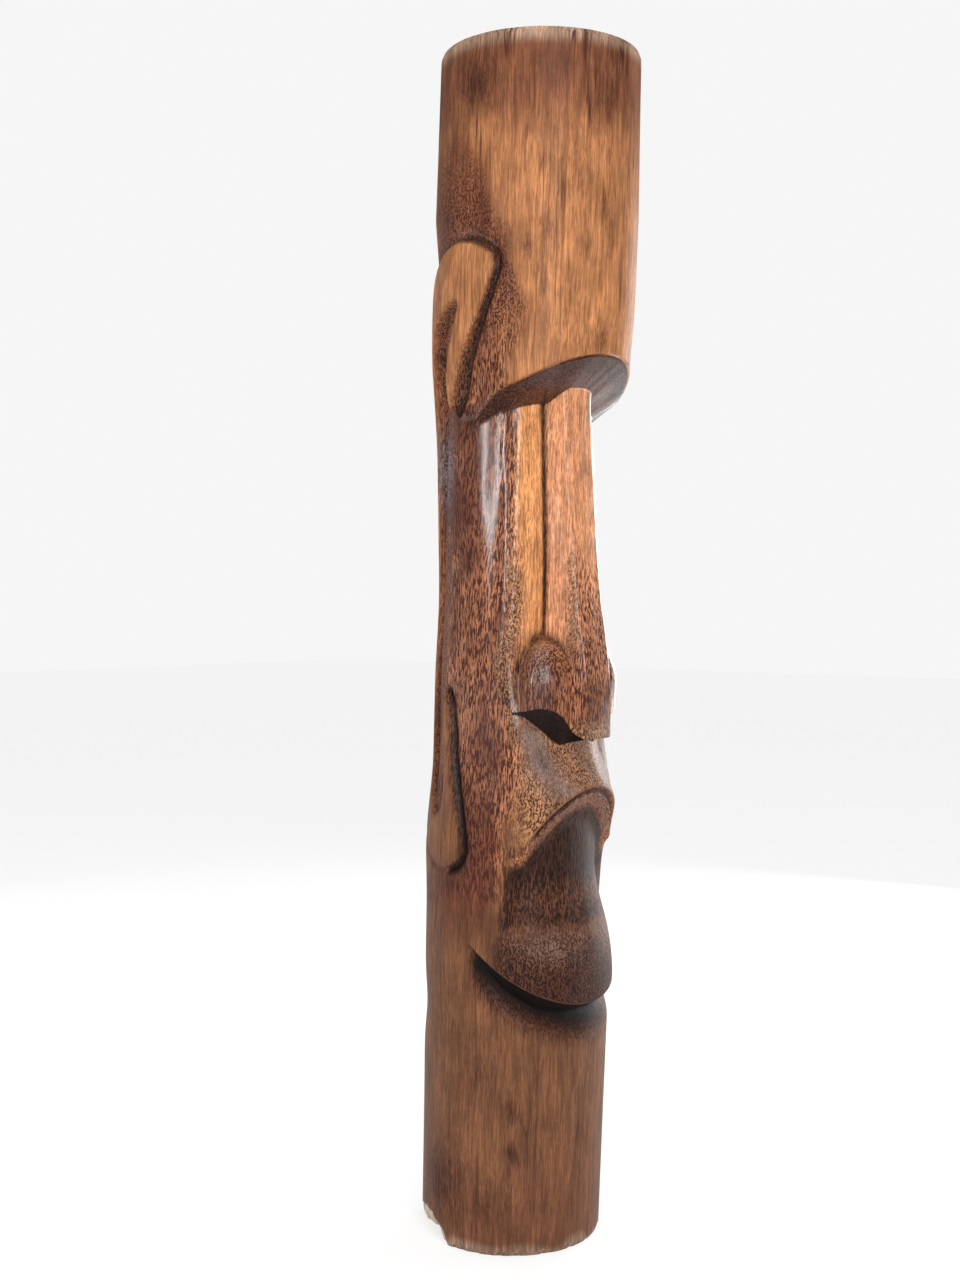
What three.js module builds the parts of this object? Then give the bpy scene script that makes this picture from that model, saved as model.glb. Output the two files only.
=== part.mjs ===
// A carved figure: one upright palm log whose front is cut back to leave a long eyeless face.
// Millimetres, +Z up. The origin is the centre of the sawn foot, and the face looks along -Y.
//
// The log is one surface. Every point of it has a bearing, measured round the log from the
// middle of the face, and a height, and the carving says how far the wood reaches there.
import * as THREE from 'three';
import { mergeVertices } from 'three/addons/utils/BufferGeometryUtils.js';

// ---- the log -------------------------------------------------------------------------------
const HEIGHT = 1500;
const FOOT_RADIUS = 113.5;
const TAPER = 0.0128; // growth of the radius per mm of height
const SHOULDER_HEIGHT = 1300; // above this the log narrows a little
const SHOULDER_TAPER = 0.0188;
const LEAN_X = 26; // how far the crown's centre stands from the foot's
const LEAN_Y = -31.7;
const RIM_WEAR = 2.5; // how much the sawn rims are rounded
const RIM_HEIGHT = 8;

// ---- heights of the carving on the middle line ----------------------------------------------
const NECK_START = 252;
const JAW_EDGE = 302;
const HOLLOW_HEIGHT = 455;
const MOUTH_HEIGHT = 571.5;
const NOSE_BOTTOM = 630;
const WING_TOP = 766;
const BROW_SIDE = 1030;
const BROW_RISE = 77; // the brow's edge climbs this much from the sides to the middle
const EAR_TOP = 1247;

// ---- widths and depths of the carving --------------------------------------------------------
const BROW_END = 92; // bearing at which the brow's undercut runs out, in degrees
const BROW_SLOPE = 0.62; // fall of the undercut per mm of depth
const EYE_FRONT = 62; // how far the flat eye plane stands in front of the axis at the nose
const EYE_FALL = 9; // and how much further back it lies at the temple
const NOSE_HALF = 42.5; // half width of the nose where it meets the eye plane
const RIDGE_HALF = 27.5; // half width of its flat front
const NOSE_ROUND = 9;
const WING_BEARING = 37;
const WING_SPREAD = 23;
const WING_DEPTH = 43;
const WING_STRAIGHT = 700; // below this height the nostril wing runs straight down
const MUZZLE_DEPTH = 21;
const HOLLOW_DEPTH = 21;
const LIP_DROP = 13; // from the mouth's edge down to the ridge of the lower lip
const GROOVE_DEPTH = 7;
const MOUTH_CORNER = 50;
const JAW_END = 82;
const JAW_DEPTH = 13;
const EAR_EDGE = 5; // bearing over which the wall of the ear's relief rises
const CHIP_BEARING = 127;
const CHIP_SPREAD = 22;
const CHIP_HEIGHT = 26;
const CHIP_DEPTH = 20;

// ---- the mesh ----------------------------------------------------------------------------------
const COLUMNS = 72;
const FRONT_CROWDING = 0.32; // draws the columns together at the face

const DEGREE = Math.PI / 180;
const clamp01 = (value) => Math.min(1, Math.max(0, value));
const mix = THREE.MathUtils.lerp;

// 0 below one value, 1 above another, and smooth between
function ease(from, to, value) {
  const part = clamp01((value - from) / (to - from));
  return part * part * (3 - 2 * part);
}

// the height of a line drawn through a few [place, height] points
function along(points, place) {
  if (place <= points[0][0]) return points[0][1];
  for (let i = 1; i < points.length; i++) {
    const [start, low] = points[i - 1];
    const [end, high] = points[i];
    if (place <= end) return mix(low, high, (place - start) / (end - start));
  }
  return points[points.length - 1][1];
}

// the smaller of two lengths, with the corner between them rounded
function roundedMin(a, b, radius) {
  const overlap = clamp01(0.5 + (0.5 * (b - a)) / radius);
  return mix(b, a, overlap) - radius * overlap * (1 - overlap);
}

// ---- lines of the carving, each a height for a bearing from the middle, in degrees ------------
const browEdge = (side) => BROW_SIDE + BROW_RISE * Math.cos(Math.min(side, BROW_END) * DEGREE);
const mouthEdge = (side) => MOUTH_HEIGHT - 0.028 * Math.min(side, MOUTH_CORNER) ** 2;
const jawEdge = (side) => JAW_EDGE + 0.0115 * Math.min(side, JAW_END) ** 2;
const neckStart = (side) => NECK_START + 0.0122 * Math.min(side, JAW_END) ** 2;
const noseEdge = (side) => along(
  [[0, NOSE_BOTTOM], [12, 630.5], [16, 636], [21, 647], [28, 661], [35, 669], [42, 671], [54, 666], [62, 665]],
  side,
);
const noseRoot = (side) => along(
  [[0, 628], [14, 625], [22, 622], [30, 628], [37, 638], [46, 650], [54, 660], [62, 663]],
  side,
);

// ---- limits of the carved areas, each a bearing for a height -----------------------------------
const faceLimit = (z) => along([[500, 48], [530, 50], [560, 54], [591, 57], [635, 62], [700, 65]], z);
const hollowLimit = (z) => along([[330, 66], [396, 65], [436, 63], [475, 60], [491, 56], [506, 49]], z);
const ridgeFront = (z) => along([[632, 122], [700, 118], [766, 112], [803, 104], [862, 97], [925, 88],
  [1050, 78]], z);
const sideDepth = (z) => along([[430, 0], [500, 3], [560, 5], [640, 8], [760, 12], [1030, 13],
  [1120, 11], [1200, 9], [1252, 6], [1290, 0]], z);

// the ear's front strip runs down from the crown of the ear and up from the lobe, to two points
const earFront = (z) => along([[471, 104], [478, 94], [500, 90], [526, 93], [554, 97], [581, 102],
  [619, 106], [657, 108], [682, 116], [683, 140], [1041, 140], [1042, 109], [1058, 104.5],
  [1092, 99.8], [1126, 92.6], [1164, 84.5], [1207, 77], [1218, 76], [1229, 78.5], [1239, 86],
  [1247, 97]], z);
const earBack = (z) => along([[471, 106], [478, 118], [491, 128], [530, 148], [620, 158], [1040, 160],
  [1110, 154], [1170, 138], [1206, 125], [1237, 110], [1247, 99]], z);
const conchaFront = (z) => along([[528, 118], [545, 111], [579, 111], [618, 115], [656, 118],
  [682, 118], [683, 100], [1041, 100], [1042, 112], [1061, 111.6], [1106, 110], [1138, 105],
  [1172, 100], [1180, 104]], z);
const conchaBack = (z) => along([[528, 119], [560, 130], [620, 140], [1080, 142], [1142, 127],
  [1167, 115], [1180, 105]], z);

// ---- the wood -----------------------------------------------------------------------------------
function logRadius(z) {
  const swell = TAPER * z - SHOULDER_TAPER * Math.max(0, z - SHOULDER_HEIGHT);
  const fromRim = Math.min(z, HEIGHT - z);
  const wear = RIM_WEAR * (1 - ease(0, RIM_HEIGHT, fromRim));
  return FOOT_RADIUS + swell - wear;
}

// how much of the ear's raised strip stands at a point, from 0 to 1
function earRelief(side, z) {
  if (z < 468 || z > EAR_TOP + 3) return 0;
  const inside = ease(earFront(z) - EAR_EDGE, earFront(z), side);
  const behind = ease(earBack(z), earBack(z) + EAR_EDGE, side);
  const hollow = ease(conchaFront(z), conchaFront(z) + EAR_EDGE, side)
    * (1 - ease(conchaBack(z) - EAR_EDGE, conchaBack(z), side));
  const bowl = z > 528 && z < 1180 ? hollow : 0;
  return inside * (1 - behind) * (1 - bowl);
}

// the side of the head, with the ear left standing on it
function sideSurface(side, z) {
  const temple = z > browEdge(side) ? ease(58, 84, side) : 1;
  const nape = 1 - ease(150, 170, side);
  const cut = sideDepth(z) * temple * nape;
  return logRadius(z) - cut * (1 - earRelief(side, z));
}

// the flat plane of the eyes, which turns forward into the muzzle below the nose
function faceSurface(side, z) {
  const flank = sideSurface(side, z);
  const lean = Math.cos(Math.min(side, 75) * DEGREE);
  const eyeFront = EYE_FRONT - EYE_FALL * ease(30, 68, side);
  const eye = side < 75 ? eyeFront / lean : Infinity;
  const fade = 1 - ease(0.5 * faceLimit(z), faceLimit(z), side);
  const muzzleFall = ease(540, 622, z);
  const muzzle = flank - MUZZLE_DEPTH * muzzleFall * fade;
  const turn = ease(628, 735, z);
  return Math.min(flank, mix(muzzle, Math.min(eye, flank), turn));
}

// the long nose with its flat front, and the nostril wings
function noseSurface(side, z) {
  if (side > WING_BEARING + WING_SPREAD) return 0;
  const front = ridgeFront(z);
  const angle = side * DEGREE;
  const flare = (NOSE_HALF - RIDGE_HALF) / (front - EYE_FRONT);
  const flat = front / Math.cos(angle);
  const flank = (RIDGE_HALF + front * flare) / (Math.sin(angle) + flare * Math.cos(angle));
  const bridge = roundedMin(flat, flank, NOSE_ROUND);
  const across = (side - WING_BEARING) / WING_SPREAD;
  const above = Math.max(0, z - WING_STRAIGHT) / (WING_TOP - WING_STRAIGHT);
  const bulge = 1 - across ** 2 - above ** 2;
  const wing = bulge > 0 ? logRadius(z) - 4 - WING_DEPTH * (1 - Math.sqrt(bulge)) : 0;
  return Math.min(logRadius(z) - 1, Math.max(bridge, wing));
}

function noseAndFace(side, z) {
  const face = faceSurface(side, z);
  const edge = noseEdge(side);
  const root = noseRoot(side);
  if (z <= root) return face;
  if (z >= edge) return Math.max(face, noseSurface(side, z));
  const lip = Math.max(face, noseSurface(side, edge));
  return mix(face, lip, (z - root) / (edge - root));
}

// everything between the mouth and the neck
function lowerFace(side, z) {
  const flank = sideSurface(side, z);
  const mouth = mouthEdge(side);
  const jaw = jawEdge(side);
  if (z >= jaw) {
    const middle = 1 - ease(0.45 * hollowLimit(z), hollowLimit(z), side);
    const fromLip = ease(mouth - LIP_DROP, HOLLOW_HEIGHT, z);
    const fromChin = ease(345, HOLLOW_HEIGHT, z);
    const hollow = HOLLOW_DEPTH * middle * Math.min(fromLip, fromChin);
    const corner = 1 - ease(MOUTH_CORNER - 8, MOUTH_CORNER, side);
    const fromGroove = Math.abs(z - (mouth - 0.4 * LIP_DROP)) / (0.5 * LIP_DROP);
    const groove = GROOVE_DEPTH * corner * clamp01(1 - fromGroove);
    return flank - hollow - groove;
  }
  const bite = JAW_DEPTH * (1 - ease(45, JAW_END, side));
  const underside = Math.min(1, (jaw - z) / Math.max(bite, 0.5));
  const neck = ease(neckStart(side), jaw - bite, z);
  return flank - bite * Math.min(underside, neck);
}

function brow(side, z) {
  const edge = browEdge(side);
  if (side > BROW_END || z >= edge) return 0;
  return sideSurface(side, edge + 1) - (edge - z) / BROW_SLOPE;
}

// how far the wood reaches from the log's axis at a bearing and a height
function reach(bearing, z) {
  const side = Math.abs(bearing);
  let radius = sideSurface(side, z);
  if (z < mouthEdge(side)) radius = lowerFace(side, z);
  else if (z < browEdge(side) && side < BROW_END) {
    radius = Math.min(radius, Math.max(noseAndFace(side, z), brow(side, z)));
  }
  const fromChip = Math.abs(bearing + CHIP_BEARING) / CHIP_SPREAD;
  const chip = CHIP_DEPTH * clamp01(1 - fromChip ** 2) * clamp01(1 - z / CHIP_HEIGHT);
  return radius - chip;
}

// ---- rows of the mesh follow the lines of the carving ----------------------------------------------
const ROWS = [
  [() => 0, 1],
  [() => RIM_HEIGHT, 2],
  [() => CHIP_HEIGHT, 3],
  [neckStart, 3],
  [(side) => jawEdge(side) - JAW_DEPTH * (1 - ease(45, JAW_END, side)) - 1, 1],
  [jawEdge, 5],
  [() => HOLLOW_HEIGHT, 3],
  [(side) => mouthEdge(side) - LIP_DROP, 1],
  [(side) => mouthEdge(side) - 0.4 * LIP_DROP, 1],
  [mouthEdge, 3],
  [noseRoot, 1],
  [noseEdge, 3],
  [() => WING_TOP - 20, 1],
  [() => WING_TOP + 4, 6],
  [(side) => browEdge(side) - BROW_SLOPE * (logRadius(BROW_SIDE) - noseAndFace(side, 1040)) - 1, 3],
  [browEdge, 3],
  [() => 1180, 3],
  [() => EAR_TOP + 4, 3],
  [() => HEIGHT - RIM_HEIGHT, 1],
];

function rowHeights(side) {
  const heights = [];
  ROWS.forEach(([line, steps], i) => {
    const start = line(side);
    const end = i + 1 < ROWS.length ? ROWS[i + 1][0](side) : HEIGHT;
    for (let step = 0; step < steps; step++) heights.push(mix(start, end, step / steps));
  });
  heights.push(HEIGHT);
  return heights;
}

// ---- the solid ------------------------------------------------------------------------------------
function withoutFlatTriangles(geometry) {
  const corners = geometry.index.array;
  const kept = [];
  for (let i = 0; i < corners.length; i += 3) {
    const [a, b, c] = corners.slice(i, i + 3);
    if (a !== b && b !== c && c !== a) kept.push(a, b, c);
  }
  geometry.setIndex(kept);
  return geometry;
}

function carvedLog() {
  const rows = rowHeights(0).length;
  const profile = [new THREE.Vector2(0, 0)];
  for (let row = 0; row < rows; row++) profile.push(new THREE.Vector2(FOOT_RADIUS, row));
  profile.push(new THREE.Vector2(0, rows));
  const geometry = new THREE.LatheGeometry(profile, COLUMNS);
  const position = geometry.getAttribute('position');
  for (let column = 0; column <= COLUMNS; column++) {
    const turn = (column % COLUMNS) / COLUMNS;
    const swing = 2 * Math.PI * turn;
    const bearing = (Math.atan2(Math.sin(swing), Math.cos(swing)) - FRONT_CROWDING * Math.sin(swing))
      / DEGREE;
    const heights = rowHeights(Math.abs(bearing));
    for (let row = -1; row <= rows; row++) {
      const z = heights[Math.min(Math.max(row, 0), rows - 1)];
      const radius = row < 0 || row === rows ? 0 : reach(bearing, z);
      const angle = bearing * DEGREE;
      position.setXYZ(
        column * (rows + 2) + row + 1,
        (LEAN_X * z) / HEIGHT + radius * Math.sin(angle),
        (LEAN_Y * z) / HEIGHT - radius * Math.cos(angle),
        z,
      );
    }
  }
  geometry.deleteAttribute('normal');
  geometry.deleteAttribute('uv');
  const solid = withoutFlatTriangles(mergeVertices(geometry, 0.001));
  solid.computeVertexNormals();
  return solid;
}

const palmWood = new THREE.MeshStandardMaterial({ color: 0xa8683a, roughness: 0.35, metalness: 0 });
const log = new THREE.Mesh(carvedLog(), palmWood);
log.name = 'carved_log';

const group = new THREE.Group();
group.add(log);

export default group;
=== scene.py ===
"""A carved palm-log figure: the fine carving, the wood and its varnish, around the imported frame.

Shapes are worked out in millimetres on the log's skin. A point's bearing is its angle round the
log from the middle of the face, in degrees, positive towards the figure's left, and its side is
the same angle without its sign. The carving is the same on both sides.
"""
import math
from types import SimpleNamespace

import bpy
import numpy as np
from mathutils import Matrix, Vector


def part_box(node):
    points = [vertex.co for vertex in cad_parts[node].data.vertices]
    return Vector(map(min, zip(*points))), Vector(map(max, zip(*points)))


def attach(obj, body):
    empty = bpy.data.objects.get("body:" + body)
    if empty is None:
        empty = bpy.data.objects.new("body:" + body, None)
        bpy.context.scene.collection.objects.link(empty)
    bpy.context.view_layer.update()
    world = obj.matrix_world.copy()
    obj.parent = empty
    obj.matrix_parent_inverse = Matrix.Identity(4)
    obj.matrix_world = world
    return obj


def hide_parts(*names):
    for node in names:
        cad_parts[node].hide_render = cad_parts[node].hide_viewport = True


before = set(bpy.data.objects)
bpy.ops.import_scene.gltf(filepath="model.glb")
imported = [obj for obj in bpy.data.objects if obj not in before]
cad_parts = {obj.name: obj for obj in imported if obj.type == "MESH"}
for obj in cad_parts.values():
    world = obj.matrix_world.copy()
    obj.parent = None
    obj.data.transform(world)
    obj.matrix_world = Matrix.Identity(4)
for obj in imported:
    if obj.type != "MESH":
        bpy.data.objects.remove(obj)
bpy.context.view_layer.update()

MM = 0.001
LOG_NODE = "carved_log"
log_low, log_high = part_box(LOG_NODE)

# ---- the log -------------------------------------------------------------------------------------
HEIGHT = (log_high[2] - log_low[2]) / MM
FOOT_RADIUS = 113.5
TAPER = 0.0128
SHOULDER_HEIGHT = 1300
SHOULDER_TAPER = 0.0188
LEAN = (26.0, -31.7)
RIM_WEAR = 2.2
RIM_HEIGHT = 6
ARC = 122  # mean radius, which turns bearings into distances along the skin
FAR = 1000.0  # further out than any wood

# ---- the carving ---------------------------------------------------------------------------------
BROW_SIDE = 1030
BROW_RISE = 77
BROW_END = 92
BROW_SLOPE = 0.62
EYE_END = 75
EYE_ROUND = 16
NOSE_HALF = 41
RIDGE_HALF = 27.5
NOSE_ROUND = 10
NOSE_BOTTOM = 630
WING_BEARING = 37
WING_SPREAD = 23
WING_TOP = 759
WING_STRAIGHT = 700
WING_DEPTH = 43
WING_ROUND = 22
MUZZLE_DEPTH = 21
MUZZLE_RISE = (550, 627)  # heights where the muzzle comes forward
EYE_PLANE_RISE = (628, 735)  # heights where the muzzle turns into the eye plane
MOUTH_HEIGHT = 571.5
MOUTH_CORNER = 50
LIP_DROP = 13
LIP_SWELL = 4
LIP_SPREAD = 19
GROOVE_DEPTH = 7
HOLLOW_HEIGHT = 455
HOLLOW_DEPTH = 24
HOLLOW_START = 350
CHIN_HEIGHT = 322
CHIN_SWELL = 4.5
JAW_EDGE = 302
JAW_END = 82
NECK_START = 252
CREASE_DEPTH = 3.2
CREASE_WIDTH = 3.6
CHIP_BEARING = -124
CHIP_SPREAD = 28
CHIP_HEIGHT = 34
CHIP_DEPTH = 26
SCALLOP_LENGTH = 19
SCALLOP_DEPTH = 0.5
SCALLOP_SIDE = 62
FACET_DEPTH = 0.35

# ---- the mesh ------------------------------------------------------------------------------------
COLUMNS = 440
FRONT_CROWDING = 0.32
END_RING = 0.965  # of the radius: where the end faces begin to show end grain
END_STRENGTHS = {"fibre": 0.8, "dots": 1.0, "char_and_shade": 0.15, "gloss": 0.0, "dry": 0.0}

# ---- the grain: width and length of its marks, in mm ---------------------------------------------
LINES = (1.9, 38)
DASHES = (1.9, 12)
SPECKS = (1.8, 3.4)
RIPPLE = (1.3, 12)
CRACKS = (12, 420)
CRACK_BREAKS = (26, 110)
STREAKS = (5, 120)
PATCHES = (24, 48)
WANDER = (30, 90)
WANDER_REACH = (9.0, 9.0, 40.0)

# ---- the wood's colours --------------------------------------------------------------------------
SKIN_HIGH = (0.475, 0.200, 0.080)
SKIN_LOW = (0.190, 0.081, 0.037)
CHEEK_WOOD = (0.530, 0.210, 0.098)
HEART_WOOD = (0.870, 0.375, 0.142)
NOSE_WOOD = (0.750, 0.325, 0.155)
GOLD_WOOD = (0.360, 0.180, 0.083)
# brown stain; under the brow and under the char it is laid as painted shade
BROWN_STAIN_AND_SHADE = (0.140, 0.045, 0.024)
# grey laid as a painted sheen: soft light reflected in the varnish on the muzzle, nostril wing, lip and
# chin
SHEEN_GREY = (0.250, 0.170, 0.140)
SLATE = (0.290, 0.245, 0.255)
# near black for scorching, and for painted shade in the creases, undercuts and hollow and under the nose,
# brow and jaw
CHAR_AND_SHADE = (0.005, 0.002, 0.002)
FIBRE = (0.060, 0.015, 0.009)
BARE_WOOD = (0.480, 0.360, 0.270)
FRESH_WOOD = (0.600, 0.500, 0.400)

# the grey patch behind the right cheek: bearing, height, half width, half height
SLATE_PATCH = (-132, 968, 21, 46)

# dark marks on the skin: bearing, height, half width, half height, strength
MARKS = (
    (-90, 1440, 24, 34, 0.75), (-13, 1435, 20, 44, 0.35), (104, 1432, 30, 30, 0.55),
    (-57, 1235, 9, 14, 0.40), (-13, 1290, 5, 18, 0.40), (-10, 1122, 10, 16, 0.40),
    (-46, 1250, 12, 30, 0.15), (-30, 1330, 10, 60, 0.15), (-53, 178, 7, 15, 0.60),
    (-52, 128, 7, 13, 0.60), (-75, 215, 14, 24, 0.30), (-102, 75, 34, 40, 0.70),
    (-62, 60, 30, 40, 0.25), (60, 150, 24, 50, 0.35), (150, 300, 40, 60, 0.30),
    (-160, 700, 34, 90, 0.25), (172, 1180, 40, 70, 0.30), (-66, 690, 9, 30, 0.60),
    (-64, 580, 14, 40, 0.20), (-98, 1027, 9, 9, 0.85), (98, 1027, 9, 9, 0.85),
    (-102, 450, 30, 15, 0.50), (-128, 436, 26, 24, 0.35), (118, 448, 34, 18, 0.45),
)

rng = np.random.default_rng(11)
LATTICE = rng.random((48, 48, 48))


def clamp(value, low=0.0, high=1.0):
    return np.minimum(np.maximum(value, low), high)


def ease(start, end, value):
    """0 at start, 1 at end, and smooth between."""
    part = clamp((value - start) / (end - start))
    return part * part * (3 - 2 * part)


def mix(a, b, part):
    return a + (b - a) * part


def bump(centre, width, value):
    """1 at a centre, falling smoothly to nothing over about twice the width."""
    return np.exp(-(((value - centre) / width) ** 2))


def rounded_min(a, b, radius):
    part = clamp(0.5 + 0.5 * (b - a) / radius)
    return mix(b, a, part) - radius * part * (1 - part)


def curve(*points):
    """A smooth line through a few (place, height) points, which never overshoots them."""
    places, heights = np.array(points, float).T
    gaps = np.diff(places)
    slopes = np.diff(heights) / gaps
    before, after = slopes[:-1], slopes[1:]
    same_way = before * after > 0
    total = np.where(same_way, before + after, 1.0)
    bends = np.where(same_way, 2 * before * after / total, 0.0)
    tangents = np.concatenate([slopes[:1], bends, slopes[-1:]])

    def at(place):
        inside = clamp(place, places[0], places[-1])
        i = np.clip(np.searchsorted(places, inside, side="right") - 1, 0, len(gaps) - 1)
        t = (inside - places[i]) / gaps[i]
        start = (1 + 2 * t) * (1 - t) ** 2 * heights[i] + t * (1 - t) ** 2 * gaps[i] * tangents[i]
        end = t * t * (3 - 2 * t) * heights[i + 1] - t * t * (1 - t) * gaps[i] * tangents[i + 1]
        return start + end

    return at


def noise(bearing, z, across, along, seed=0):
    """Smooth seeded noise from -1 to 1 in the skin, with lumps of a width and a length in mm."""
    angle = np.radians(bearing)
    place = np.stack(
        [ARC * np.sin(angle) / across + seed * 5.3, ARC * np.cos(angle) / across, z / along + seed], -1
    )
    cell = np.floor(place).astype(int)
    part = place - cell
    part = part * part * (3 - 2 * part)
    total = 0.0
    for corner in np.ndindex(2, 2, 2):
        share = np.prod(np.where(corner, part, 1 - part), axis=-1)
        at = (cell + corner) % len(LATTICE)
        total = total + share * LATTICE[at[..., 0], at[..., 1], at[..., 2]]
    return 2 * total - 1


# ---- lines and depths of the carving: each is a value for a side ---------------------------------
def brow_edge(side):
    return BROW_SIDE + BROW_RISE * np.cos(np.radians(np.minimum(side, BROW_END))) + 4 * bump(75, 13, side)


def mouth_edge(side):
    return MOUTH_HEIGHT - 0.028 * np.minimum(side, MOUTH_CORNER) ** 2


def jaw_edge(side):
    return JAW_EDGE + 0.0115 * np.minimum(side, JAW_END) ** 2


def neck_start(side):
    return NECK_START + 0.0122 * np.minimum(side, JAW_END) ** 2


nose_edge = curve((0, NOSE_BOTTOM), (12, 630.5), (16, 636), (21, 648), (28, 661), (35, 669), (42, 671),
                  (54, 666), (62, 665))
jaw_bite = curve((0, 15), (45, 14), (65, 9), (76, 3), (83, 0))
jaw_drop = curve((0, 8), (14, 11), (24, 14), (40, 19), (58, 19), (70, 13), (83, 3))
eye_fall = curve((34, 0), (48, 3), (60, 9), (66, 15), (72, 22), (77, 30))
nose_root = curve((0, 628), (14, 625), (22, 622), (30, 628), (37, 638), (46, 650), (54, 660), (62, 663))

# ---- limits and depths of the cut areas: each is a value for a height ----------------------------
face_limit = curve((500, 48), (530, 50), (560, 54), (591, 57), (635, 62), (700, 65))
hollow_limit = curve((330, 66), (396, 65), (436, 63), (475, 60), (491, 56), (506, 49))
ridge_front = curve((632, 122), (700, 116), (766, 106), (803, 99), (842, 94), (893, 89), (945, 84),
                    (1050, 76))
eye_front = curve((620, 61), (820, 60), (950, 55), (1060, 50))
recess = curve((440, 0), (500, 1.5), (560, 5), (640, 8), (760, 8), (900, 11), (1000, 15), (1050, 17),
               (1110, 13), (1180, 7), (1250, 3), (1290, 0))
temple_hollow = curve((700, 0), (800, 4), (865, 7), (950, 12), (1060, 13))
waist = curve((500, 0), (540, 1.5), (600, 5), (700, 6), (800, 9), (900, 7), (1000, 4), (1050, 2),
              (1100, 0))

# ---- where the ear begins, and where the gold of the forehead ends: each is a side for a height --
ear_front = curve((470, 98), (487, 90.5), (510, 91), (554, 97), (600, 104), (657, 108), (684, 114),
                  (860, 116), (1041, 109), (1092, 100), (1126, 93), (1164, 84), (1205, 77), (1229, 78),
                  (1247, 98))
gold_end = curve((1050, 64), (1100, 62), (1165, 57), (1200, 62), (1230, 67), (1260, 70), (1300, 75),
                 (1350, 82), (1400, 92))

# ---- the ear: a long loop left standing at the log's skin, as (side, height) points --------------
EAR_LOOP = (
    (98, 1247), (87, 1240), (78.5, 1229), (76, 1217), (77, 1205), (84.5, 1164), (92.6, 1126),
    (99.8, 1092), (104, 1060), (109, 1041), (111.5, 1062), (110, 1095), (105, 1138), (101, 1166),
    (103, 1178), (109, 1173), (120, 1160), (129, 1138), (136, 1095), (140, 1020), (142, 860),
    (141, 700), (137, 615), (129, 560), (120, 532), (112, 542), (111, 579), (115, 630), (114, 684),
    (108, 657), (104, 600), (97, 554), (91, 510), (90.5, 487), (96, 475), (105, 471), (116, 475),
    (129, 496), (142, 532), (152, 590), (157, 690), (158, 850), (157, 1000), (153, 1100),
    (146, 1155), (137, 1192), (126, 1222), (112, 1242),
)


def smooth_loop(points, steps=5):
    """A closed outline rounded through its points, in mm along the skin."""
    corners = np.array(points, float) * (math.radians(1) * ARC, 1.0)
    before, after, beyond = (np.roll(corners, -shift, axis=0) for shift in (-1, 1, 2))
    rounded = []
    for t in np.arange(steps) / steps:
        rounded.append(
            0.5 * (2 * corners + (after - before) * t
                   + (2 * before - 5 * corners + 4 * after - beyond) * t ** 2
                   + (3 * corners - before - 3 * after + beyond) * t ** 3)
        )
    return np.stack(rounded, axis=1).reshape(-1, 2)


def loop_distance(points, side, z):
    """How far each place is inside a closed outline, in mm, and negative outside it."""
    across = np.radians(side) * ARC + 0 * z
    z = z + 0 * side
    outline = smooth_loop(points)
    nearest = np.full(across.shape, 1e9)
    inside = np.zeros(across.shape, bool)
    for (x0, y0), (x1, y1) in zip(outline, np.roll(outline, -1, axis=0)):
        run, rise = x1 - x0, y1 - y0
        part = clamp(((across - x0) * run + (z - y0) * rise) / (run * run + rise * rise))
        gap = (across - x0 - part * run) ** 2 + (z - y0 - part * rise) ** 2
        nearest = np.minimum(nearest, gap)
        if rise:
            crosses = (z >= min(y0, y1)) & (z < max(y0, y1))
            inside ^= crosses & (across < x0 + (z - y0) * run / rise)
    return np.sqrt(nearest) * np.where(inside, 1, -1)


# ---- the carved surface --------------------------------------------------------------------------
def log_radius(z):
    swell = TAPER * z - SHOULDER_TAPER * np.maximum(0, z - SHOULDER_HEIGHT)
    from_rim = np.minimum(z, HEIGHT - z)
    return FOOT_RADIUS + swell - RIM_WEAR * (1 - ease(0, RIM_HEIGHT, from_rim))


def skin_radius(bearing, z):
    """The trunk before it was carved, with its own slow swellings and flutes."""
    side = np.abs(bearing)
    ear_swell = 3.5 * bump(1150, 90, z) * bump(128, 30, side) + 3 * bump(490, 40, z) * bump(140, 25, side)
    dent = 3 * bump(288, 34, z) * bump(-140, 30, bearing) + 3.5 * bump(1095, 55, z) * ease(70, 40, side)
    flutes = 0.7 * noise(bearing, z, 26, 420, 1) + 0.9 * noise(bearing, z, 70, 160, 2)
    frayed = 2.2 * ease(12, 0, z) * np.maximum(0, noise(bearing, z, 7, 30, 3))
    return log_radius(z) + ear_swell - dent + flutes - frayed


def flank_cut(side, z, ear, above_brow):
    """Depth of the cut on the side of the head, round the ear."""
    temple = np.where(above_brow, ease(64, 100, side) * (0.85 + 0.15 * ease(102, 116, side)), 1.0)
    nape = 1 - ease(150, 172, side)
    sunken = temple_hollow(z) * bump(74, 22, side) * ~above_brow
    hollow = recess(z) * temple * nape + sunken
    waisted = waist(z) * ease(50, 76, side) * nape
    standing = ease(-4.5, 1.5, ear)
    halo = 4 * bump(0, 34, np.minimum(ear, 0)) * ease(1030, 1090, z) * ease(60, 80, side) * nape
    before_ear = ease(5, 0, side - ear_front(z))
    groove = (1.2 + 3.8 * before_ear) * bump(-4, 5, ear) * ease(160, 140, side)
    return waisted + (hollow + halo) * (1 - standing) + groove


def bridge_radius(side, z):
    """The nose as a bar with a flat front and splayed flanks."""
    angle = np.radians(np.minimum(side, 70))
    front = ridge_front(z)
    splay = (NOSE_HALF - RIDGE_HALF) / (front - eye_front(z))
    crown = 2.5 * (1 - ease(0, 24, side))
    flat = (front + crown) / np.cos(angle)
    flank = (RIDGE_HALF + front * splay) / (np.sin(angle) + splay * np.cos(angle))
    return np.where(side < 64, rounded_min(flat, flank, NOSE_ROUND), 0)


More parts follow.
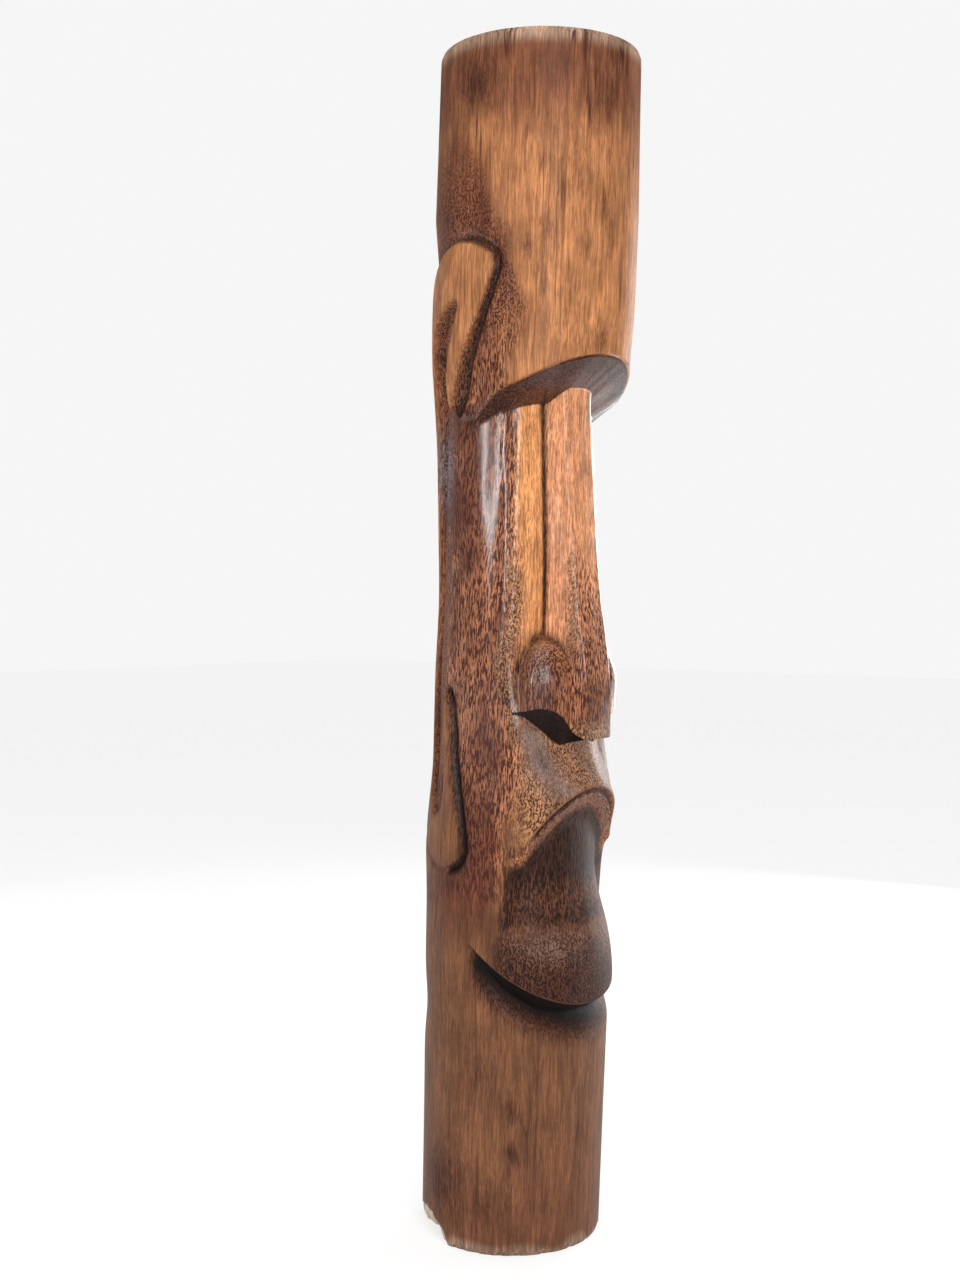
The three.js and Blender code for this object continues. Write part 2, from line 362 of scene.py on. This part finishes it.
def wing_bulge(side, z):
    """1 in the middle of a nostril wing and 0 on its outline, which is round at the top."""
    across = (side - WING_BEARING) / WING_SPREAD
    above = np.maximum(0, z - WING_STRAIGHT) / (WING_TOP - WING_STRAIGHT)
    return 1 - np.abs(across) ** 2.3 - above ** 1.4


def wing_radius(side, z, skin):
    bulge = wing_bulge(side, z)
    return np.where(bulge > 0, skin - 4 - WING_DEPTH * (1 - np.sqrt(np.maximum(bulge, 0))), 0)


def carve(bearing, z):
    """How far the wood reaches at each bearing and height, and what the paint needs to know."""
    side = np.abs(bearing)
    skin = skin_radius(bearing, z)
    ear = loop_distance(EAR_LOOP, side, z)
    brow = brow_edge(side)
    flank = skin - flank_cut(side, z, ear, z > brow)

    # the eye plane, which turns forward into the muzzle below the nose
    eye_line = eye_front(z) - eye_fall(side)
    eye = np.where(side < EYE_END, eye_line / np.cos(np.radians(np.minimum(side, EYE_END))), FAR)
    eye_plane = rounded_min(flank, eye, EYE_ROUND)
    fade = 1 - ease(0.5 * face_limit(z), face_limit(z), side)
    lip_swell = LIP_SWELL * bump(mouth_edge(side), LIP_SPREAD, z) * ease(50, 28, side)
    muzzle = flank + lip_swell - MUZZLE_DEPTH * ease(*MUZZLE_RISE, z) * fade
    face = mix(muzzle, eye_plane, ease(*EYE_PLANE_RISE, z))

    # the nose, its wings, and the bevel under them
    edge, root = nose_edge(side), nose_root(side)
    nose_z = np.maximum(z, edge)
    bridge = bridge_radius(side, nose_z)
    wing = wing_radius(side, nose_z, skin)
    nose = np.minimum(skin - 1, -rounded_min(-bridge, -wing, WING_ROUND))
    crease = bump(0, CREASE_WIDTH, nose - face) * ease(745, 760, z) * ease(1075, 1060, z) * (side < 52)
    upper = np.maximum(face, nose) - CREASE_DEPTH * crease
    under_nose = clamp((z - root) / (edge - root)) ** 0.85
    front = np.where(z >= edge, upper, mix(face, np.maximum(face, nose), under_nose))

    # the brow's undercut
    brow_skin = skin - 0.85 * recess(brow) * ease(64, 100, side) - waist(brow) * ease(50, 76, side)
    under = (brow - z) / (BROW_SLOPE + 0.19 * ease(52, 24, side))
    undercut = brow_skin - under
    under_brow = (side < BROW_END) & (z < brow) & (undercut > front)
    front = np.where(under_brow, undercut, front)

    # mouth, lower lip and the hollow above the chin
    mouth = mouth_edge(side)
    middle = 1 - ease(0.80 * hollow_limit(z), 1.04 * hollow_limit(z), side)
    below_lip = clamp((mouth - 2 - z) / 48)
    scoop = (1 - (1 - below_lip) ** 1.6) * ease(1, 15, mouth - z)
    scoop = scoop * ease(HOLLOW_START, HOLLOW_HEIGHT + 16, z)
    corner = 1 - ease(MOUTH_CORNER - 9, MOUTH_CORNER, side)
    from_groove = np.abs(z - (mouth - 0.4 * LIP_DROP)) / (0.55 * LIP_DROP)
    groove = GROOVE_DEPTH * corner * (1 - ease(0, 1, from_groove))
    chin_swell = CHIN_SWELL * bump(CHIN_HEIGHT, 34, z) * ease(78, 30, side)
    chin = flank + lip_swell - HOLLOW_DEPTH * middle * scoop - groove + chin_swell

    # the jaw's undercut and the neck
    jaw = jaw_edge(side)
    bite = jaw_bite(side)
    under_jaw = clamp((jaw - z) / jaw_drop(side))
    neck = ease(neck_start(side), jaw - jaw_drop(side), z)
    throat = flank - bite * np.minimum(under_jaw, neck)

    radius = np.where(z > mouth, np.where((z < brow) & (side < BROW_END), front, flank),
                      np.where(z > jaw, chin, throat))

    # the chip broken out of the foot
    from_chip = np.hypot((bearing - CHIP_BEARING) / CHIP_SPREAD, z / CHIP_HEIGHT)
    chip = CHIP_DEPTH * clamp(1 - from_chip + 0.07 * noise(bearing, z, 8, 14, 5))

    # flat chisel cuts where the wood is carved, and shallow scallops along the edge beside the eye
    chiselled = ease(1, 6, skin - radius) * (1 - 0.75 * bump(84, 13, side))
    facets = FACET_DEPTH * noise(bearing, z, 12, 55, 6) * chiselled
    beside_eye = bump(SCALLOP_SIDE, 4, side) * ease(760, 820, z) * ease(1010, 960, z)
    scallops = SCALLOP_DEPTH * np.cos(z / SCALLOP_LENGTH * math.tau) * beside_eye

    facts = {
        "side": side, "skin": skin, "ear": ear, "brow": brow, "mouth": mouth, "jaw": jaw,
        "crease": crease, "wing": wing - face, "under_nose": (z < edge) & (z > root) & (side < 60),
        "under_brow": under_brow, "undercut": under, "groove": groove / GROOVE_DEPTH,
        "under_jaw": (z < jaw) * clamp(bite / 6) * neck, "chip": chip,
    }
    return radius - chip - facets - scallops, facts


# ---- the paint: what the wood is like at every point ---------------------------------------------
def blend(low, high, part):
    return mix(np.asarray(low), np.asarray(high), np.asarray(part)[..., None])


def spot(bearing, z, at_bearing, at_z, across, along):
    """1 in the middle of a soft oval, whose half width and half height are in mm."""
    return bump(0, 1, np.hypot(np.radians(bearing - at_bearing) * ARC / across, (z - at_z) / along))


def strongest(*parts):
    """The highest of several strengths at each point."""
    return np.maximum.reduce(np.broadcast_arrays(*parts))


def describe(bearing, z, radius, facts):
    """What the paint asks of a point: its place on the carving, slow noise, and its share in each area."""
    at = SimpleNamespace(bearing=bearing, z=z, **facts)
    side = at.side
    at.cut = at.skin - radius
    at.cloud = noise(bearing, z, 22, 34, 7)
    at.drift = noise(bearing, z, 48, 80, 8)
    at.standing = ease(-3, 2, at.ear)
    at.on_face = (z < at.brow) & (z > at.mouth)
    at.chin = (z < at.mouth) & (z > at.jaw)
    low_cheek = ease(60, 68, side) * ease(104, 92, side + 6 * at.drift) * ease(395, 500, z + 22 * at.cloud)
    low_cheek = low_cheek * (z < 620) * (at.ear < 0)
    at.carved = np.maximum(ease(1.5, 6, at.cut) * ease(430, 520, z), low_cheek)
    at.heart = ease(15, 34, at.cut + 3 * at.cloud) * at.on_face * ease(68, 60, side)
    at.nose = ease(38, 34, side)

    temple = ease(-8, 10, side - gold_end(z) + 6 * at.cloud) * (z > at.brow - 2) * ease(152, 118, side)
    around = bump(0, 62, np.minimum(at.ear, 0)) * ease(1060, 1120, z) * ease(63, 74, side)
    at.temple = np.maximum(temple * ease(1540, 1250, z), around) * (1 - at.standing)
    in_ear = (1 - at.standing) * ease(0, 6, side - ear_front(z)) * ease(1190, 1150, z) * ease(560, 600, z)
    at.in_ear = in_ear * ease(146, 136, side)
    tip = ease(790, 690, z + 10 * at.cloud) * (side < 60) * (z > NOSE_BOTTOM - 4) * (at.under_nose < 1)
    at.tip = tip * at.on_face
    at.muzzle = at.on_face * ease(660, 640, z) * ease(70, 47, side + 8 * at.cloud + 7 * at.drift)
    at.lip_band = bump(0, 9, z - at.mouth + 14) * ease(50, 40, side) * at.chin
    at.deep = ease(-15, -33, z - at.mouth) * at.chin
    at.deep = at.deep * ease(1.03, 0.93, side / hollow_limit(z) + 0.03 * at.cloud)
    at.deep = at.deep * ease(388, 418, z + 8 * at.cloud)
    at.marks = strongest(*(strength * spot(bearing, z, *place) for *place, strength in MARKS), 0)
    return at


def stain_and_shade_strength(at):
    """Brown stain on the sides and back of the head, the tip of the nose, both ends and the marks, and
    painted shade under the brow.
    """
    side, z, cloud, drift = at.side, at.z, at.cloud, at.drift
    cheek = at.carved * (1 - at.standing) * (1 - at.heart) * ease(60, 70, side) * (z < at.brow + 20)
    behind = ease(78, 94, side + 5 * drift) * ease(760, 900, z)
    cheek = cheek * (0.46 + 0.26 * ease(700, 600, z) + 0.50 * cloud + 0.40 * behind)
    temple = (0.88 - 0.50 * ease(1230, 1120, z)) * at.temple * (1 + 0.15 * cloud)
    band = ease(1325, 1448, z + 16 * drift + 10 * cloud) * ease(1506, 1482, z) * (0.80 + 0.10 * cloud)
    nape = 0.45 * ease(150, 170, side) * ease(520, 700, z) * ease(1350, 1150, z) * (1 + 0.5 * drift)
    tip = (0.40 + 0.40 * ease(24, 34, side)) * at.tip
    flank = ease(62, 72, side) * ease(140, 96, side + 8 * drift) * ease(372, 440, z + 9 * cloud)
    flank = 0.97 * flank * ease(640, 520, z) * (1 - at.standing)
    foot = 0.30 * ease(150, 30, z + 20 * drift)
    # the under-brow term is painted shade
    return clamp(strongest(cheek, temple, 0.60 * at.in_ear, band, nape, tip, flank, foot, at.marks,
                           0.9 * at.under_brow))


def gold_strength(at):
    """Gold stipple, where the muzzle and the edges of the nose are cut across the grain."""
    side, z = at.side, at.z
    beside_wing = bump(63, 6, side + 7 * at.drift) * ease(880, 820, z) * ease(600, 660, z)
    rim_of_nose = bump(17, 4, side) * ease(890, 840, z) * ease(700, 760, z)
    return strongest(beside_wing, at.muzzle, 0.7 * rim_of_nose) * (1 - at.under_nose)


def painted_sheen_strength(at):
    """A painted sheen on the muzzle, the nostril wing, the lip and the chin: grey patches that stand for
    soft light reflected in the varnish.
    """
    side, z = at.side, at.z
    slope = (z - 610) - 2.75 * (side - 41)
    streak = 1.1 * bump(0, 13, slope / 2.9) * ease(550, 568, z) * ease(668, 655, z)
    streak = streak * at.muzzle * (1 + 0.3 * at.cloud)
    on_wing = 0.95 * spot(side, z, 43, 716, 14, 22) * (at.wing > 0)
    on_chin = 0.60 * spot(side, z, 30, 374, 48, 20) * at.chin
    return strongest(streak, on_wing, 0.3 * at.muzzle * ease(22, 8, side), on_chin, 0.30 * at.lip_band)


def char_and_shade_strength(at, sheen):
    """Near black where the wood is scorched and where shade is painted: in the creases and undercuts, round
    the ear, in the hollow and under the jaw.
    """
    side, z = at.side, at.z
    under_brow = at.under_brow * (0.66 - 0.16 * ease(14, 40, at.undercut))
    before_ear = ease(5, 0, side - ear_front(z))
    low_lobe = ease(690, 560, z)
    outline = bump(-5, 6 + 3 * low_lobe, at.ear) * ease(150, 130, side) * (1 - 0.45 * ease(1215, 1240, z))
    outline = (0.25 + (0.62 + 0.12 * low_lobe) * before_ear) * outline
    hollow = (0.86 - 0.36 * bump(432, 20, z)) * at.deep
    chin = 0.66 * at.chin * ease(404, 366, z) * ease(76, 58, side + 4 * at.drift) * (1 - clamp(sheen))
    below_jaw = ease(-62 - 14 * at.drift, -14, z - at.jaw) * (z < at.jaw) * ease(86, 76, side)
    # painted shade in the crease round the top of the nostril wing
    rim_of_wing = bump(0.06, 0.20, wing_bulge(side, z)) * ease(690, 720, z) * ease(14, 24, side)
    rim_of_wing = 0.60 * rim_of_wing * at.on_face * (z < 790)
    # the under-nose, crease, under-brow, ear groove, under-jaw, mouth groove, hollow and chin terms are
    # scorch with painted shade; the marks are stains
    return clamp(strongest(0.97 * at.under_nose, 0.80 * at.crease, under_brow, 0.72 * at.marks, outline,
                           at.under_jaw, 0.80 * at.groove ** 1.6, hollow, chin, below_jaw, rim_of_wing))


def fibre_strength(at, gold, sheen):
    """How strongly the dark fibres show."""
    side, z = at.side, at.z
    fibre = 0.40 + 0.05 * ease(520, 320, z) + 0.60 * at.carved * (1 - at.standing) * (1 - 0.78 * at.heart)
    fibre = strongest(fibre, 0.95 * at.temple, 0.95 * at.in_ear, 0.98 * at.tip)
    fibre = mix(fibre, 0.90, clamp(gold))
    fibre = fibre * (1 - 0.40 * clamp(sheen) * (z < 680))
    fibre = np.maximum(fibre, 0.8 * at.chin * ease(74, 60, side))
    return fibre * (1 - 0.45 * at.deep * ease(440, 490, z)) * (1 - 0.75 * clamp(at.chip / 2))


def wood_tone(at, gold, sheen, char_and_shade):
    """The wood's colour, laid in order: wood, stain with painted shade under the brow, gold, painted sheen,
    the grey patch, the ends, and the char with its painted shade.
    """
    z = at.z
    tone = blend(SKIN_LOW, SKIN_HIGH, ease(380, 1080, z))
    tone = blend(tone, CHEEK_WOOD, at.carved * (1 - at.standing))
    tone = blend(tone, blend(HEART_WOOD, NOSE_WOOD, at.nose), at.heart)
    tone = blend(tone, BROWN_STAIN_AND_SHADE, stain_and_shade_strength(at))
    tone = blend(tone, GOLD_WOOD, clamp(gold * (0.85 + 0.3 * at.cloud)))
    tone = blend(tone, GOLD_WOOD, 0.9 * at.lip_band)
    tone = blend(tone, BROWN_STAIN_AND_SHADE, 0.62 * at.lip_band)
    # the painted sheen, laid over the wood as grey
    tone = blend(tone, SHEEN_GREY, clamp(sheen))
    tone = blend(tone, SLATE, 0.95 * clamp(1.6 * spot(at.bearing, z, *SLATE_PATCH)))
    tone = blend(tone, FRESH_WOOD, clamp(at.chip / 2))
    tone = blend(tone, BARE_WOOD, 0.62 * ease(1476, 1495, z) + 0.4 * ease(16, 2, z + 8 * at.cloud))
    # brown laid under the char and its painted shade
    return blend(tone, BROWN_STAIN_AND_SHADE, 0.8 * char_and_shade)


def gloss_strength(at, sheen, char_and_shade):
    """Varnish on the carved parts, thinner on the right of the nose, on the muzzle, on the painted sheen
    and on the char and its painted shade.
    """
    varnish = ease(2, 6, at.cut) * (1 - at.standing) * (1 - at.in_ear)
    varnish = varnish * ease(480, 600, at.z) * ease(112, 98, at.side)
    varnish = varnish * (1 - 0.75 * at.nose * ease(12, 18, -at.bearing))
    varnish = varnish * (1 - 0.9 * ease(660, 640, at.z) * ease(70, 55, at.side))
    return (0.05 + 0.95 * varnish) * (1 - 0.9 * char_and_shade) * (1 - 0.6 * clamp(sheen))


def paint(bearing, z, radius, facts):
    """Colour, and strengths from 0 to 1: fibres, how short they are cut, char with painted shade, gloss and
    dry cracks.
    """
    at = describe(bearing, z, radius, facts)
    gold = gold_strength(at)
    sheen = painted_sheen_strength(at)
    char_and_shade = char_and_shade_strength(at, sheen)
    high_temple = at.temple * ease(1080, 1190, z)
    low_chin = at.chin * ease(410, 380, z) * ease(70, 60, at.side)
    strengths = {
        "fibre": fibre_strength(at, gold, sheen),
        "dots": strongest(high_temple, 0.85 * at.in_ear, gold, sheen, at.lip_band, low_chin),
        "char_and_shade": char_and_shade,
        "gloss": gloss_strength(at, sheen, char_and_shade),
        "dry": clamp(1 - at.carved - char_and_shade) * (0.75 + 0.25 * ease(1250, 1470, z)),
    }
    return wood_tone(at, gold, sheen, char_and_shade), strengths


# ---- the mesh ------------------------------------------------------------------------------------
def row_heights(side):
    """Heights of the mesh's rows at one side. They follow the lines of the carving."""
    lines = [
        (0, 10), (30, 80), (neck_start(side), 28), (jaw_edge(side) - jaw_drop(side), 14),
        (jaw_edge(side), 78), (HOLLOW_HEIGHT, 44), (mouth_edge(side) - LIP_DROP, 12),
        (mouth_edge(side), 44), (nose_root(side), 16), (nose_edge(side), 56), (WING_TOP + 4, 130),
        (brow_edge(side) - 45, 36), (brow_edge(side), 80), (1262, 110), (HEIGHT - 8, 6), (HEIGHT, 1),
    ]
    heights = []
    for (start, steps), (end, _) in zip(lines, lines[1:]):
        heights.append(start + (end - start + 0 * side) * np.arange(steps)[None, :] / steps)
    return np.concatenate(heights + [0 * side + HEIGHT], axis=1)


def log_mesh():
    swing = np.linspace(0, 2 * math.pi, COLUMNS, endpoint=False)
    turned = np.arctan2(np.sin(swing), np.cos(swing)) - FRONT_CROWDING * np.sin(swing)
    bearing = np.degrees(turned)[:, None]
    z = row_heights(np.abs(bearing))
    bearing = bearing + 0 * z
    radius, facts = carve(bearing, z)
    tone, strengths = paint(bearing, z, radius, facts)

    angle = np.radians(bearing)
    across = radius * np.sin(angle)
    back = -radius * np.cos(angle)
    skin_points = np.stack([across + LEAN[0] * z / HEIGHT, back + LEAN[1] * z / HEIGHT, z], -1)
    columns, rows = z.shape
    count = columns * rows
    vertices = skin_points.reshape(-1, 3) * MM

    index = np.arange(count).reshape(columns, rows)
    beside = np.roll(index, -1, axis=0)
    quads = np.stack([index[:, :-1], beside[:, :-1], beside[:, 1:], index[:, 1:]], -1).reshape(-1, 4)
    faces = quads.tolist()
    for row, direction in ((0, -1), (rows - 1, 1)):
        ring = len(vertices) + np.arange(columns)
        centre = len(vertices) + columns
        middle = np.array([LEAN[0], LEAN[1], HEIGHT]) * MM * (row > 0)
        inner = middle + (skin_points[:, row] * MM - middle) * END_RING
        vertices = np.concatenate([vertices, inner, [middle]])
        for a, b, c, d in zip(index[:, row], beside[:, row], ring, np.roll(ring, -1)):
            faces += [(a, b, d, c)[::direction], (c, d, centre)[::direction]]
    mesh = bpy.data.meshes.new("carved_log_surface")
    mesh.from_pydata(vertices, [], faces)
    mesh.shade_smooth()

    skin_grain = np.stack([across, back, z], -1)
    foot_grain, crown_grain = skin_grain[:, 0], skin_grain[:, -1]
    ends = [foot_grain * (END_RING, END_RING, 1), [[0, 0, 0]], crown_grain * (END_RING, END_RING, 1),
            [[0, 0, HEIGHT]]]
    grain = np.concatenate([skin_grain.reshape(-1, 3)] + ends)
    at_ends = len(vertices) - count
    add_attribute(mesh, "grain", "FLOAT_VECTOR", "vector", grain)
    tones = np.concatenate([tone.reshape(-1, 3), [BARE_WOOD] * at_ends])
    add_attribute(mesh, "tone", "FLOAT_COLOR", "color", np.c_[tones, np.ones(len(tones))])
    for name, values in strengths.items():
        values = np.append(clamp(values).ravel(), [END_STRENGTHS[name]] * at_ends)
        add_attribute(mesh, name, "FLOAT", "value", values)
    return mesh


def add_attribute(mesh, name, kind, field, values):
    attribute = mesh.attributes.new(name, kind, "POINT")
    attribute.data.foreach_set(field, np.asarray(values, np.float32).ravel())


# ---- the material --------------------------------------------------------------------------------
class Graph:
    """Short ways to lay and join shader nodes."""

    # the Mix node has a socket of the same name for each data type, so its colours go by number
    COLOUR_A, COLOUR_B, COLOUR_RESULT = 6, 7, 2

    def __init__(self, name):
        self.material = bpy.data.materials.new(name)
        self.material.use_nodes = True
        self.tree = self.material.node_tree
        self.shader = self.tree.nodes["Principled BSDF"]

    def node(self, kind, inputs=(), **settings):
        made = self.tree.nodes.new(kind)
        for key, value in settings.items():
            setattr(made, key, value)
        for key, value in dict(inputs).items():
            self.feed(made.inputs[key], value)
        return made

    def feed(self, socket, value):
        if isinstance(value, bpy.types.NodeSocket):
            self.tree.links.new(value, socket)
        else:
            socket.default_value = value

    def math(self, operation, a, b=0.0, clamped=False):
        made = self.node("ShaderNodeMath", {0: a, 1: b}, operation=operation, use_clamp=clamped)
        return made.outputs[0]

    def attribute(self, name, output="Fac"):
        return self.node("ShaderNodeAttribute", attribute_name=name).outputs[output]

    def stretched(self, vector, across, along):
        scale = (1 / across, 1 / across, 1 / along)
        made = self.node("ShaderNodeVectorMath", {0: vector, 1: scale}, operation="MULTIPLY")
        return made.outputs[0]

    def noise(self, vector, detail=3.0, roughness=0.55):
        made = self.node(
            "ShaderNodeTexNoise", {"Vector": vector, "Scale": 1.0, "Detail": detail, "Roughness": roughness}
        )
        return made.outputs["Fac"]

    def contrast(self, value, gain):
        """Pushes values away from a half, and clamps them between 0 and 1."""
        made = self.math("MULTIPLY_ADD", self.math("SUBTRACT", value, 0.5), gain, clamped=True)
        made.node.inputs[2].default_value = 0.5
        return made

    def blend(self, part, a, b):
        made = self.node("ShaderNodeMix", {"Factor": part, "A": a, "B": b}, data_type="FLOAT")
        return made.outputs["Result"]

    def mix(self, kind, factor, a, b):
        made = self.node("ShaderNodeMix", data_type="RGBA", blend_type=kind)
        self.feed(made.inputs["Factor"], factor)
        self.feed(made.inputs[self.COLOUR_A], a)
        self.feed(made.inputs[self.COLOUR_B], b)
        return made.outputs[self.COLOUR_RESULT]


def palm_wood():
    """Tan wood full of dark fibres that run up the trunk, scorched and darkened with painted shade in the
    cuts, and varnished.
    """
    g = Graph("palm_wood")
    grain = g.attribute("grain", "Vector")
    tone = g.attribute("tone", "Color")
    fibre, dots, char_and_shade = g.attribute("fibre"), g.attribute("dots"), g.attribute("char_and_shade")
    gloss, dry = g.attribute("gloss"), g.attribute("dry")

    # the fibres wander a little on their way up
    wander = g.node(
        "ShaderNodeTexNoise", {"Vector": g.stretched(grain, *WANDER), "Scale": 1.0, "Detail": 2.0}
    )
    shift = g.node("ShaderNodeVectorMath", {0: wander.outputs["Color"], 1: (0.5, 0.5, 0.5)},
                   operation="SUBTRACT")
    shift = g.node("ShaderNodeVectorMath", {0: shift.outputs[0], 1: WANDER_REACH}, operation="MULTIPLY")
    strand = g.node("ShaderNodeVectorMath", {0: grain, 1: shift.outputs[0]}, operation="ADD").outputs[0]

    # long fine lines where the log is whole, dashes where it is carved, dots where it is cut across
    lines = g.contrast(g.noise(g.stretched(strand, *LINES), 2.0, 0.6), 10.0)
    dashes = g.contrast(g.noise(g.stretched(strand, *DASHES), 2.0, 0.6), 15.0)
    specks = g.contrast(g.noise(g.stretched(strand, *SPECKS), 2.0, 0.5), 12.0)
    cut_marks = g.blend(dots, dashes, specks)
    marks = g.blend(g.contrast(fibre, 2.2), lines, cut_marks)
    strength = g.math("MULTIPLY_ADD", g.math("POWER", fibre, 1.5), 0.9)
    strength.node.inputs[2].default_value = 0.22
    marks = g.math("MULTIPLY", marks, strength)

    # thin cracks and dark lines in the dry skin
    wave = g.noise(g.stretched(strand, *CRACKS), 2.0, 0.5)
    off_line = g.math("ABSOLUTE", g.math("SUBTRACT", wave, 0.5))
    crack = g.math("SUBTRACT", 1.0, g.math("MULTIPLY", off_line, 21.0), clamped=True)
    broken = g.contrast(g.noise(g.stretched(grain, *CRACK_BREAKS), 1.0), 5.0)
    crack = g.math("MULTIPLY", g.math("MULTIPLY", crack, broken), dry)

    # slow streaks and patches of lighter and darker wood
    streak = g.noise(g.stretched(strand, *STREAKS), 4.0, 0.6)
    patch = g.noise(g.stretched(grain, *PATCHES), 4.0, 0.6)
    slow = g.math("ADD", g.math("MULTIPLY", streak, 1.45), g.math("MULTIPLY", patch, 1.55))
    shade = g.math("ADD", slow, -0.45)
    varied = g.node("ShaderNodeVectorMath", {0: tone}, operation="SCALE")
    g.feed(varied.inputs["Scale"], shade)
    wood = g.mix("MIX", g.math("MAXIMUM", marks, crack), varied.outputs[0], (*FIBRE, 1))

    # char and the painted shade laid with it bite unevenly, along the grain
    bite = g.math("SUBTRACT", cut_marks, 0.5)
    unsure = g.math("MULTIPLY", char_and_shade, g.math("SUBTRACT", 1.0, char_and_shade))
    burnt_and_shaded = g.math("MULTIPLY_ADD", bite, g.math("MULTIPLY", unsure, 1.4), clamped=True)
    g.feed(burnt_and_shaded.node.inputs[2], char_and_shade)
    g.feed(g.shader.inputs["Base Color"], g.mix("MIX", burnt_and_shaded, wood, (*CHAR_AND_SHADE, 1)))

    # varnish over slightly sunken fibres and cracks
    rough = g.math("MULTIPLY_ADD", gloss, -0.18)
    g.feed(rough.node.inputs[2], g.math("ADD", g.math("MULTIPLY", patch, 0.2), 0.46))
    g.feed(g.shader.inputs["Roughness"], rough)
    height = g.math("ADD", g.math("MULTIPLY", marks, -0.5), g.math("MULTIPLY", crack, -0.9))
    height = g.math("ADD", height, g.noise(g.stretched(strand, *RIPPLE), 2.0))
    bumps = g.node("ShaderNodeBump", {"Height": height, "Strength": 0.6, "Distance": 0.0008})
    g.feed(g.shader.inputs["Normal"], bumps.outputs[0])
    g.feed(g.shader.inputs["Coat Weight"], g.math("MULTIPLY", gloss, 0.7))
    g.shader.inputs["Coat Roughness"].default_value = 0.17
    g.shader.inputs["Specular IOR Level"].default_value = 0.12
    return g.material


# ---- the object ----------------------------------------------------------------------------------
def add_piece(name, mesh, material):
    piece = bpy.data.objects.new(name, mesh)
    bpy.context.scene.collection.objects.link(piece)
    mesh.materials.append(material)
    return piece


figure = add_piece("carved_palm_figure", log_mesh(), palm_wood())
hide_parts(LOG_NODE)
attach(figure, "root")


# ---- the studio ----------------------------------------------------------------------------------
VIEW_AZIMUTH = math.radians(-50.5)
VIEW_DISTANCE = 2.069
VIEW_SIDESTEP = -0.0388
VIEW_HEIGHT = 0.803
LENS = 45.0
SENSOR = 36.0
VIEW_SHIFT = -0.03125
AMBIENT = 0.18
BACKDROP = 0.92
FLOOR_GLOW = 0.62
OVERHEAD = 1.5

# name, azimuth, distance, height, width, tall, watts, height that it points at
LAMPS = (
    ("key", -34, 2.8, 1.7, 1.4, 1.6, 48, 0.75),
    ("left_strip", -94, 2.6, 1.45, 0.18, 0.8, 13, 0.75),
    ("near_left_strip", -79, 2.6, 1.14, 0.13, 0.35, 4, 0.75),
    ("left_rim", 178, 2.6, 1.0, 0.9, 1.7, 8, 0.75),
    ("right_strip", 109, 2.6, 0.86, 0.20, 0.45, 6, 0.75),
    ("right_rim", 94, 2.6, 1.0, 0.7, 1.7, 34, 0.75),
    ("low_right", 62, 1.9, 0.3, 0.6, 0.4, 10, 0.15),
)


def add_camera():
    data = bpy.data.cameras.new("view")
    data.lens = LENS
    data.sensor_width = SENSOR
    data.shift_y = VIEW_SHIFT
    camera = bpy.data.objects.new("view", data)
    sine, cosine = math.sin(VIEW_AZIMUTH), math.cos(VIEW_AZIMUTH)
    camera.location = (
        sine * VIEW_DISTANCE + cosine * VIEW_SIDESTEP,
        -cosine * VIEW_DISTANCE + sine * VIEW_SIDESTEP,
        VIEW_HEIGHT,
    )
    camera.rotation_euler = (math.pi / 2, 0, VIEW_AZIMUTH)
    bpy.context.scene.collection.objects.link(camera)
    bpy.context.scene.camera = camera


def add_softbox(name, azimuth, distance, height, width, tall, watts, aim):
    """A soft lamp on a circle round the figure. Azimuth is measured as the camera's is."""
    data = bpy.data.lights.new(name, "AREA")
    data.shape = "RECTANGLE"
    data.size = width
    data.size_y = tall
    data.energy = watts
    lamp = bpy.data.objects.new(name, data)
    angle = math.radians(azimuth)
    lamp.location = (math.sin(angle) * distance, -math.cos(angle) * distance, height)
    tilt = math.atan2(height - aim, distance)
    lamp.rotation_euler = (math.pi / 2 - tilt, 0, angle)
    bpy.context.scene.collection.objects.link(lamp)


def add_floor():
    mesh = bpy.data.meshes.new("floor")
    reach = 14.0
    corners = [(-reach, -reach, 0), (reach, -reach, 0), (reach, reach, 0), (-reach, reach, 0)]
    mesh.from_pydata(corners, [], [(0, 1, 2, 3)])
    material = bpy.data.materials.new("floor")
    material.use_nodes = True
    shader = material.node_tree.nodes["Principled BSDF"]
    shader.inputs["Base Color"].default_value = (0.42, 0.42, 0.42, 1)
    shader.inputs["Roughness"].default_value = 1.0
    shader.inputs["Specular IOR Level"].default_value = 0.0
    shader.inputs["Emission Color"].default_value = (1, 1, 1, 1)
    shader.inputs["Emission Strength"].default_value = FLOOR_GLOW
    add_piece("floor", mesh, material)


def add_world():
    """The backdrop is pale to look at, and lights the figure less than it shows."""
    world = bpy.data.worlds.new("studio")
    world.use_nodes = True
    tree = world.node_tree
    background = tree.nodes["Background"]
    background.inputs["Color"].default_value = (1, 1, 1, 1)
    seen = tree.nodes.new("ShaderNodeLightPath")
    strength = tree.nodes.new("ShaderNodeMapRange")
    strength.inputs["To Min"].default_value = AMBIENT
    strength.inputs["To Max"].default_value = BACKDROP
    tree.links.new(seen.outputs["Is Camera Ray"], strength.inputs["Value"])
    tree.links.new(strength.outputs["Result"], background.inputs["Strength"])
    bpy.context.scene.world = world


def add_overhead():
    """Very soft light from straight above, which lights the whole floor evenly."""
    data = bpy.data.lights.new("overhead", "SUN")
    data.energy = OVERHEAD
    data.angle = math.radians(80)
    bpy.context.scene.collection.objects.link(bpy.data.objects.new("overhead", data))


add_camera()
add_floor()
add_world()
add_overhead()
for lamp in LAMPS:
    add_softbox(*lamp)
bpy.context.scene.view_settings.view_transform = "Standard"
